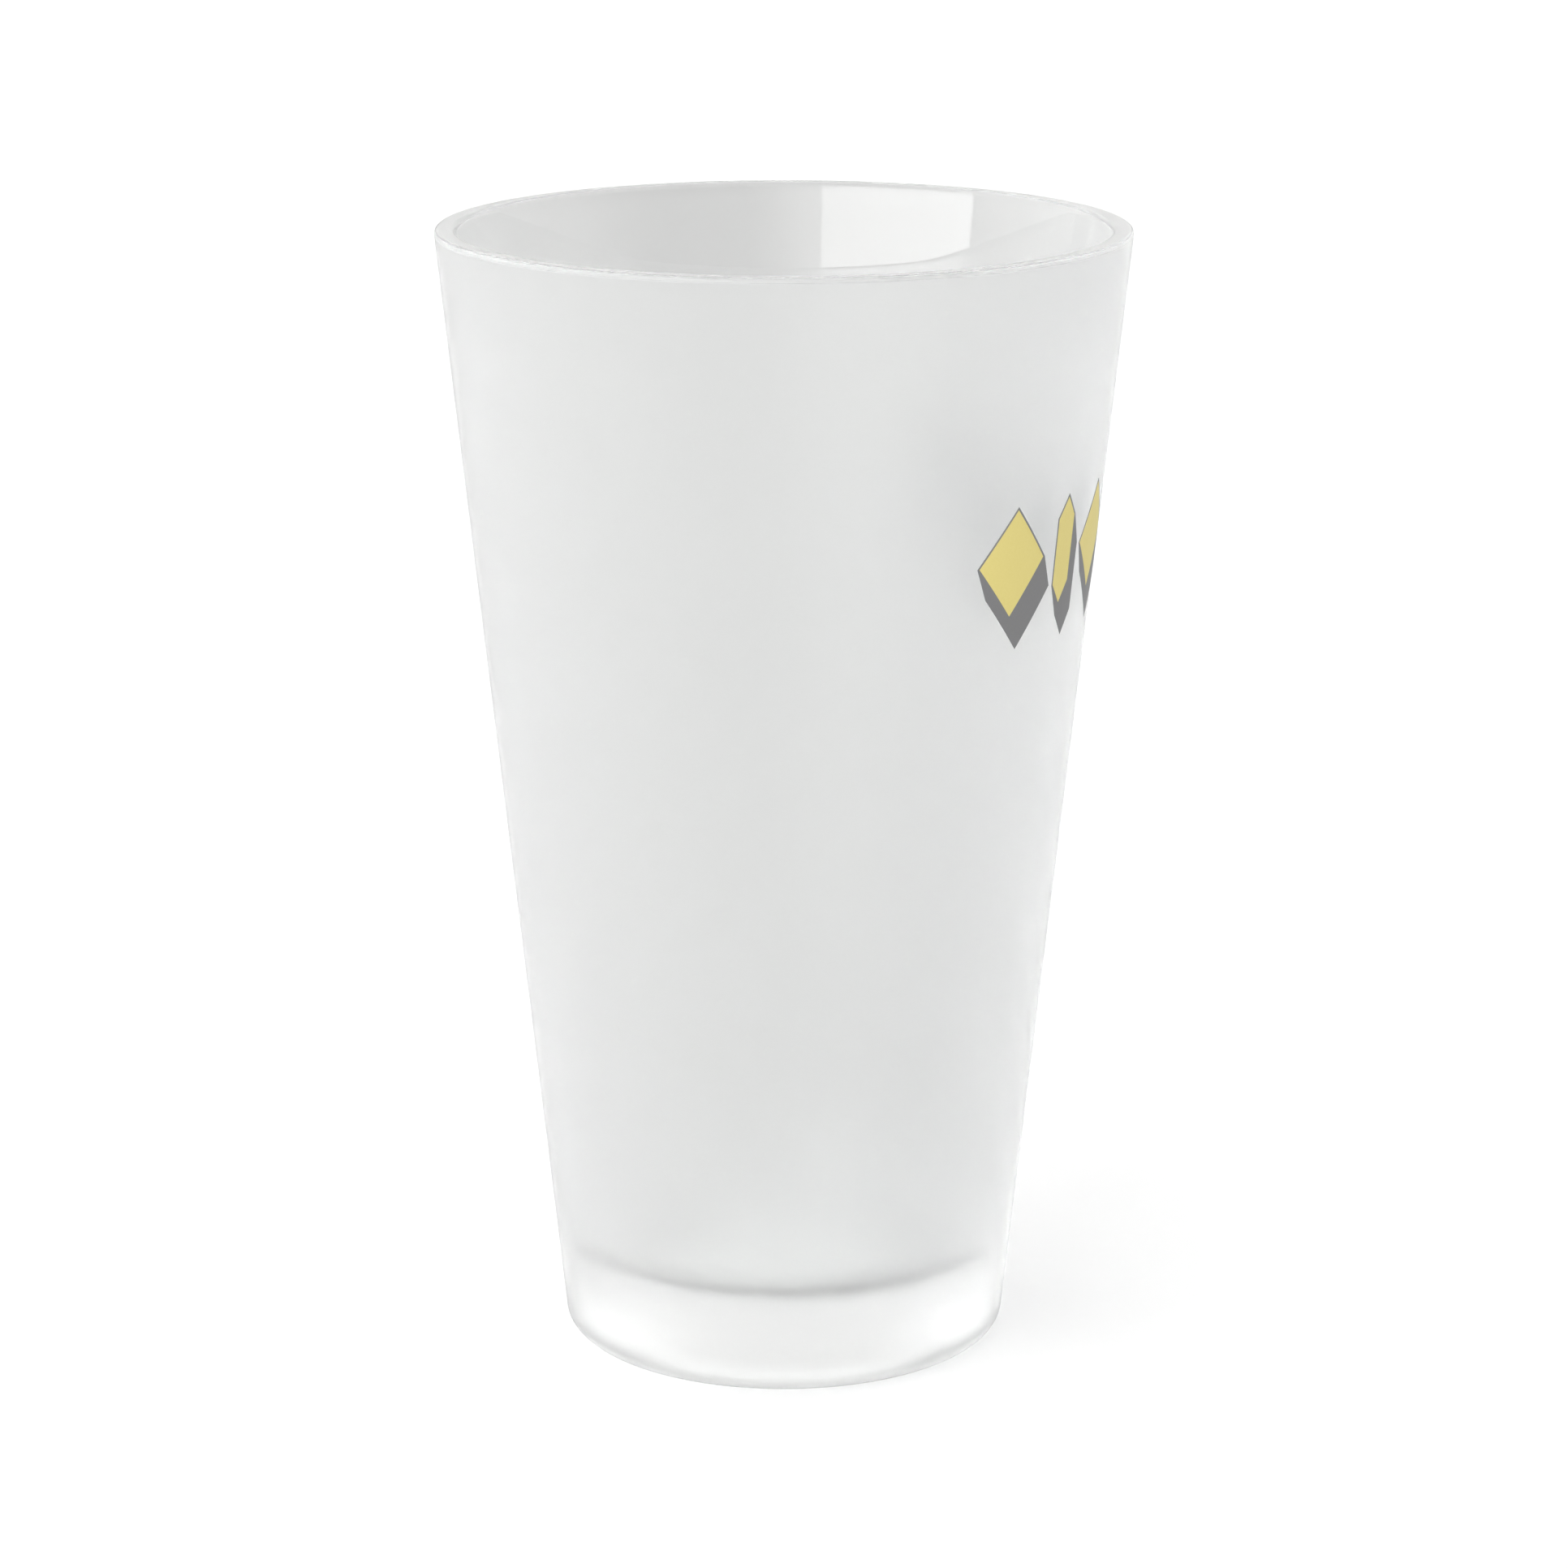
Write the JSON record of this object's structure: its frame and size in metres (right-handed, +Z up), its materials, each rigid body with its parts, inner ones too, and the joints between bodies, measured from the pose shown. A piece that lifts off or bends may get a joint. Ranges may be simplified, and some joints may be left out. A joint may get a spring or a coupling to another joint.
{
  "type": "pint glass",
  "caption": "Straight-sided tapered pint glass with a thick base and clear rim, a sprayed frosted coat outside, and a printed band of lozenges on one side.",
  "frame": {"origin": "middle of the standing ring, on the surface that the glass stands on", "axes": "+Z up along the axis of the glass, from the base to the rim. The middle of the printed band faces +X."},
  "size_m": [0.0892, 0.0892, 0.148],
  "materials": {
    "clear_glass": "polished, fire-smoothed rim",
    "frosted_coating": "sprayed satin frost",
    "yellow_ink": "satin printed ink",
    "grey_ink": "satin printed ink"
  },
  "bodies": {
    "root": {"glass_tumbler": "clear_glass", "frosted_coat": "frosted_coating", "ink_face_1": "yellow_ink", "ink_face_2": "yellow_ink", "ink_face_3": "yellow_ink", "ink_face_4": "yellow_ink", "ink_face_5": "yellow_ink", "ink_face_6": "yellow_ink", "ink_face_7": "yellow_ink", "ink_shadow_1": "grey_ink", "ink_shadow_2": "grey_ink", "ink_shadow_3": "grey_ink", "ink_shadow_4": "grey_ink", "ink_shadow_5": "grey_ink", "ink_shadow_6": "grey_ink", "ink_shadow_7": "grey_ink"}
  },
  "joints": []
}
